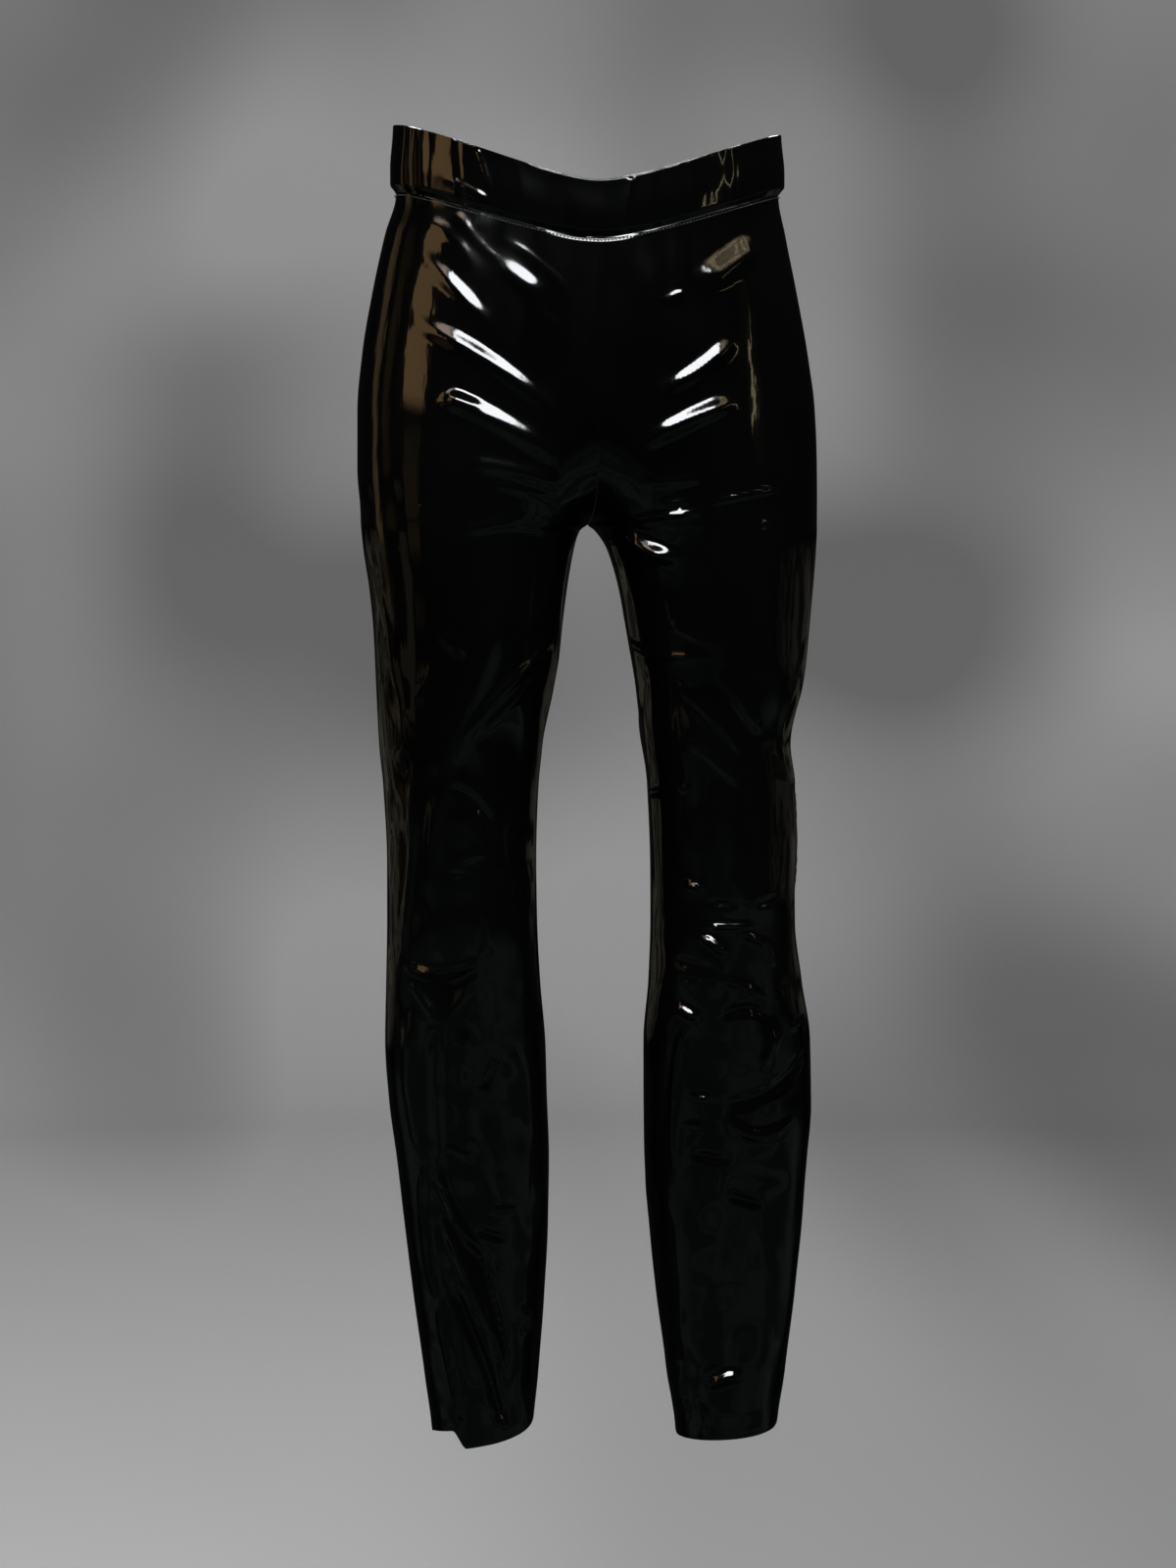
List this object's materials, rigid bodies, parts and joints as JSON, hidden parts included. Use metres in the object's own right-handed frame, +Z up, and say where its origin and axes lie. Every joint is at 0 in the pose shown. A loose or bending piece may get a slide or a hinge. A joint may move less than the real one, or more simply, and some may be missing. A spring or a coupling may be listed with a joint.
{
  "type": "leather trousers",
  "caption": "High-waisted slim patent leather trousers with a plain curved waistband, filled out in their worn form and hollow.",
  "frame": {"origin": "middle of the waist, where the wearer holds the trousers up", "axes": "+Z up the body from hem to waist, -Y to the front, +X to the wearer's left"},
  "size_m": [0.3513, 0.2148, 1.0104],
  "materials": {
    "patent_leather": "high gloss patent"
  },
  "bodies": {
    "root": {"front_left": "patent_leather", "front_right": "patent_leather", "back_left": "patent_leather", "back_right": "patent_leather", "waistband_front": "patent_leather", "waistband_back": "patent_leather"}
  },
  "joints": []
}
